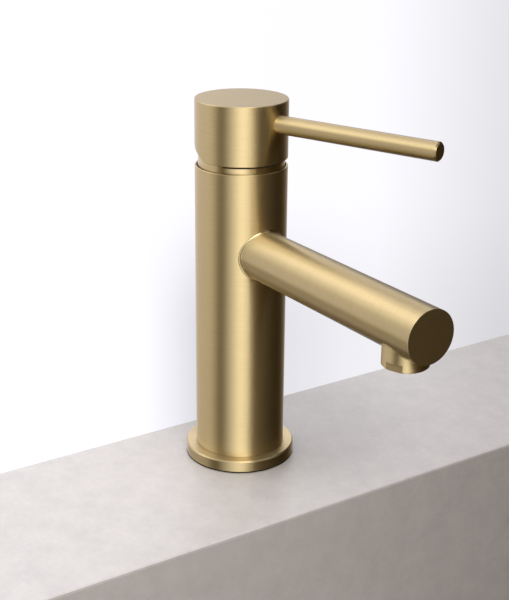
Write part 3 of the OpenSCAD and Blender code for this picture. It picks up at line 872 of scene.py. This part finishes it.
def pierced_plate(z, x_low, x_high, y_low, y_high, radius, up):
    """A flat rectangle with a round hole at the origin; up turns its faces upwards."""
    corners = [math.atan2(y, x) for x in (x_low, x_high) for y in (y_low, y_high)]
    turns = sorted([2 * math.pi * i / CIRCLE_SIDES - math.pi for i in range(CIRCLE_SIDES)] + corners)
    vertices = []
    for turn in turns:
        x, y = math.cos(turn), math.sin(turn)
        reach = min(reach_of(x_low, x_high, x), reach_of(y_low, y_high, y))
        vertices.append((radius * x, radius * y, z))
        vertices.append((reach * x, reach * y, z))
    count = len(turns)
    faces = []
    for i in range(count):
        k = (i + 1) % count
        face = (2 * i, 2 * i + 1, 2 * k + 1, 2 * k)
        faces.append(face if up else face[::-1])
    return vertices, faces


def build_ledge(s):
    """A stone ledge: a slab with the tap hole through it, and a deep front with a broken edge.

    Its outline of (forward, height) points runs between two ends; pierced plates are its top and underside.
    """
    front, back, edge, thickness = s.ledge_front, -s.ledge_back, 0.0012, 0.02
    left, right, bottom, inner = -0.6, 0.9, -0.16, front - thickness
    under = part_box("horseshoe_gasket")[1].z
    hole = s.tap_hole / 2
    outline = [(front - edge, 0), (front - edge * 0.3, -edge * 0.3), (front, -edge), (front, bottom),
               (inner, bottom), (inner, under), (back, under), (back, 0)]
    top_and_underside = (7, 5)
    vertices = [(x, y, z) for y in (left, right) for x, z in outline]
    count = len(outline)
    faces = [(i, i + 1, count + i + 1, count + i) for i in range(count) if i not in top_and_underside]
    for z, reach, up in ((0, front - edge, True), (under, inner, False)):
        plate, plate_faces = pierced_plate(z, back, reach, left, right, hole, up)
        first = len(vertices)
        vertices += plate
        faces += [tuple(first + k for k in face) for face in plate_faces]
    first = len(vertices)
    vertices += ring_of(hole, 0) + ring_of(hole, under)
    wall = grid_faces(2, CIRCLE_SIDES, closed_columns=True)
    faces += [tuple(first + k for k in face) for face in wall]
    ledge = stage_mesh("ledge", vertices, faces, make_stone("stone_top", s.stone))
    ledge.data.materials.append(make_stone("stone_front_shade", s.stone_front_shade))
    # The front face wears the darker copy of the stone, as painted shade.
    for face in ledge.data.polygons:
        shaded = abs(face.normal.x) > 0.9 and face.center.x > inner - edge
        face.material_index = 1 if shaded else 0
    ledge.visible_glossy = False


def soft_panel(name, place, aim, width, height, brightness):
    """A rectangular soft light of a given brightness, turned towards a point."""
    lamp = bpy.data.lights.new(name, "AREA")
    lamp.shape = "RECTANGLE"
    lamp.size = width
    lamp.size_y = height
    lamp.energy = brightness * math.pi * width * height
    thing = bpy.data.objects.new(name, lamp)
    thing.location = place
    thing.rotation_euler = (Vector(aim) - Vector(place)).to_track_quat("-Z", "Y").to_euler()
    thing.visible_camera = False
    bpy.context.scene.collection.objects.link(thing)


# The room seen from the mixer: direction in degrees from the spout, then brightness above, level and below.
# The dip in the below column between 141 and 151 degrees is a painted shadow of the mixer on the backdrop behind
# it.
ROOM = (
    (-180, 1.20, 0.95, 0.42), (-150, 1.45, 1.00, 0.32), (-114, 1.50, 1.00, 0.28), (-102, 1.20, 0.76, 0.25),
    (-92, 0.36, 0.20, 0.20), (-80, 0.20, 0.12, 0.20), (-70, 0.60, 0.45, 0.60), (-58, 1.50, 0.90, 1.15),
    (-48, 2.60, 1.15, 1.50), (-38, 4.20, 1.60, 1.80), (-28, 5.60, 1.75, 1.40), (-20, 6.00, 1.45, 0.70),
    (-12, 6.50, 0.95, 0.40), (-4, 5.60, 0.60, 0.35), (5, 3.20, 0.50, 0.40), (14, 1.40, 0.75, 0.60),
    (25, 1.00, 0.95, 0.85), (118, 1.30, 0.90, 0.75), (134, 1.75, 0.74, 0.66), (141, 1.75, 1.00, 0.90),
    (144.2, 1.75, 1.00, 0.80), (150.0, 1.75, 1.02, 0.70), (150.5, 1.75, 1.03, 0.90),
    (151.0, 1.75, 1.03, 1.02), (160, 1.60, 1.03, 1.03),
)

# The dark card beside the mixer: direction, then its brightness and the height of its upper edge.
CARD = (
    (-22, 0.90, -0.30), (-14, 0.45, 0.10), (-7, 0.24, 0.45), (7, 0.13, 1.10), (14, 0.11, 1.10),
    (26, 0.08, 1.10), (48, 0.045, 1.10), (84, 0.035, 1.10), (100, 0.10, 1.10), (118, 0.38, 1.10),
    (130, 0.70, 1.10),
)


def ramp_of(tree, turn, rows, column, warm):
    """Brightness round the mixer as a colour ramp, warmer where it is dim and cooler behind the mixer."""
    dim, side, green_loss, blue_gain = 0.5, 100, 0.02, 0.08
    ramp = add(tree, "ShaderNodeValToRGB")
    stops = ramp.color_ramp.elements
    while len(stops) > 1:
        stops.remove(stops[-1])
    for i, row in enumerate(rows):
        place = (row[0] + 180) / 360
        stop = stops[0] if i == 0 else stops.new(place)
        stop.position = place
        light = row[column] / LIGHT_SCALE
        dimness = max(0.0, 1 - row[column] / dim)
        behind = max(0.0, (abs(row[0]) - side) / (180 - side))
        green = 1 - (1 - warm[1]) * dimness - green_loss * behind
        blue = 1 - (1 - warm[2]) * dimness + blue_gain * behind
        stop.color = (light, light * green, light * blue, 1)
    link(tree, turn, ramp.inputs[0])
    return ramp.outputs[0]


def turn_of(tree, direction):
    """A direction's turn round the mixer, 0 to 1, and its height."""
    split = add(tree, "ShaderNodeSeparateXYZ")
    link(tree, direction, split.inputs[0])
    turn = maths(tree, "ARCTAN2", split.outputs["Y"], split.outputs["X"])
    return maths(tree, "ADD", maths(tree, "DIVIDE", turn, 2 * math.pi), 0.5), split.outputs["Z"]


def between(a, b, share):
    """The row of numbers that lies a share of the way from a to b."""
    return [p + (q - p) * share for p, q in zip(a, b)]


def build_card(name, vertices, faces, colour_of):
    """A card out of the camera's sight that the metal mirrors; colour_of(tree) gives its colour."""
    material, tree, shader = start_material(name)
    glow = add(tree, "ShaderNodeEmission")
    glow.inputs["Strength"].default_value = LIGHT_SCALE
    colour = colour_of(tree)
    if isinstance(colour, tuple):
        glow.inputs["Color"].default_value = colour
    else:
        link(tree, colour, glow.inputs["Color"])
    tree.nodes.remove(shader)
    link(tree, glow.outputs[0], tree.nodes["Material Output"].inputs["Surface"])
    card = stage_mesh(name, vertices, faces, material)
    card.visible_camera = False


def build_cards(s):
    """The dark card, bent round the mixer a metre away, and the dark floor under it."""
    steps, foot = 6, -1.6
    floor_radius, floor_height, floor_light = 0.95, -0.9, (0.10, 0.086, 0.066)
    points = [between(here, after, i / steps) for here, after in zip(CARD, CARD[1:]) for i in range(steps)]
    points.append(CARD[-1])
    vertices = []
    for direction, light, top in points:
        turn = math.radians(direction)
        vertices += [(math.cos(turn), math.sin(turn), z) for z in (foot, top)]

    def side_colour(tree):
        place = add(tree, "ShaderNodeTexCoord").outputs["Object"]
        return ramp_of(tree, turn_of(tree, place)[0], CARD, 1, s.surround)

    def floor_colour(tree):
        return tuple(c / LIGHT_SCALE for c in floor_light) + (1,)

    build_card("dark_side", vertices, grid_faces(len(points), 2), side_colour)
    floor = ring_of(floor_radius, floor_height)
    build_card("dark_floor", floor, [tuple(range(len(floor)))], floor_colour)


def build_lights(s):
    """A soft panel overhead in a room with a bright window side and a dim side."""
    world = bpy.data.worlds.new("room")
    world.use_nodes = True
    tree = world.node_tree
    turn, height = turn_of(tree, add(tree, "ShaderNodeTexCoord").outputs["Generated"])
    rows = ROOM + ((180,) + ROOM[0][1:],)
    above, level, below = (ramp_of(tree, turn, rows, column, s.surround) for column in (1, 2, 3))
    floor_light = 0.85
    floor, ceiling = (tuple([light / LIGHT_SCALE] * 3 + [1]) for light in (floor_light, s.ceiling))
    room = level
    for first, last, beyond in ((-0.26, -0.38, below), (-0.60, -0.85, floor),
                                (0.22, 0.50, above), (0.65, 0.90, ceiling)):
        room = blend_colours(tree, smooth_step(tree, height, first, last), room, beyond)
    background = tree.nodes["Background"]
    link(tree, room, background.inputs["Color"])
    background.inputs["Strength"].default_value = LIGHT_SCALE
    bpy.context.scene.world = world
    build_cards(s)
    soft_panel("top_panel", place=(-0.38, -0.20, 0.8), aim=(0, 0, 0.1), width=0.6, height=0.6,
               brightness=s.top_light)


def build_camera(s):
    """The camera, levelled and aimed by its heading, pitch and roll."""
    heading, pitch, roll = s.camera_heading, s.camera_pitch, s.camera_roll
    forward = math.cos(pitch)
    ahead = Vector((-math.sin(heading) * forward, math.cos(heading) * forward, -math.sin(pitch)))
    level = Vector((math.cos(heading), math.sin(heading), 0))
    up = level.cross(ahead)
    right = level * math.cos(roll) + up * math.sin(roll)
    top = up * math.cos(roll) - level * math.sin(roll)
    data = bpy.data.cameras.new("camera")
    data.lens = s.camera_lens
    data.sensor_width = 36
    data.clip_start = 0.01
    data.clip_end = 20
    camera = bpy.data.objects.new("camera", data)
    turn = Matrix((right, top, -ahead)).transposed().to_4x4()
    camera.matrix_world = Matrix.Translation(Vector(s.camera_place)) @ turn
    bpy.context.scene.collection.objects.link(camera)
    bpy.context.scene.camera = camera


# ---------------------------------------------------------------- panel

class MIXER_PT_panel(bpy.types.Panel):
    """Finishes of the basin mixer"""
    bl_idname = "MIXER_PT_panel"
    bl_label = "Basin Mixer"
    bl_space_type = "VIEW_3D"
    bl_region_type = "UI"
    bl_category = "Basin Mixer"

    def draw(self, context):
        layout = self.layout
        for title, group in (("Brushed brass", context.scene.mixer_brass),
                             ("Inside and fixings", context.scene.mixer_inner),
                             ("Threads and fillets", context.scene.mixer_detail),
                             ("Stage", context.scene.mixer_stage)):
            box = layout.box()
            box.label(text=title)
            for key in group.__annotations__:
                box.prop(group, key)
        for step in STEPS:
            layout.operator(step.bl_idname)


# In the order that they run: the pieces at the end wear materials that earlier steps make.
STEPS = (
    MIXER_OT_stage,
    MIXER_OT_upright,
    MIXER_OT_handle,
    MIXER_OT_spout,
    MIXER_OT_cartridge,
    MIXER_OT_seals,
    MIXER_OT_fixings,
    MIXER_OT_stud_thread,
    MIXER_OT_root_fillet,
    MIXER_OT_outlet_fillet,
    MIXER_OT_hose_threads,
    MIXER_OT_shadow_line_seal_lip,
    MIXER_OT_neck_shadow_band,
)
GROUPS = (
    ("mixer_brass", BrassSettings),
    ("mixer_inner", InnerSettings),
    ("mixer_detail", DetailSettings),
    ("mixer_stage", StageSettings),
)


def register():
    for name, group in GROUPS:
        bpy.utils.register_class(group)
        setattr(bpy.types.Scene, name, bpy.props.PointerProperty(type=group))
    for step in STEPS:
        bpy.utils.register_class(step)
    bpy.utils.register_class(MIXER_PT_panel)


def unregister():
    bpy.utils.unregister_class(MIXER_PT_panel)
    for step in reversed(STEPS):
        bpy.utils.unregister_class(step)
    for name, group in reversed(GROUPS):
        delattr(bpy.types.Scene, name)
        bpy.utils.unregister_class(group)


def main():
    register()
    bpy.context.scene.view_settings.view_transform = "Standard"
    for step in STEPS:
        group, operator = step.bl_idname.split(".")
        getattr(getattr(bpy.ops, group), operator)()


if __name__ == "__main__":
    main()
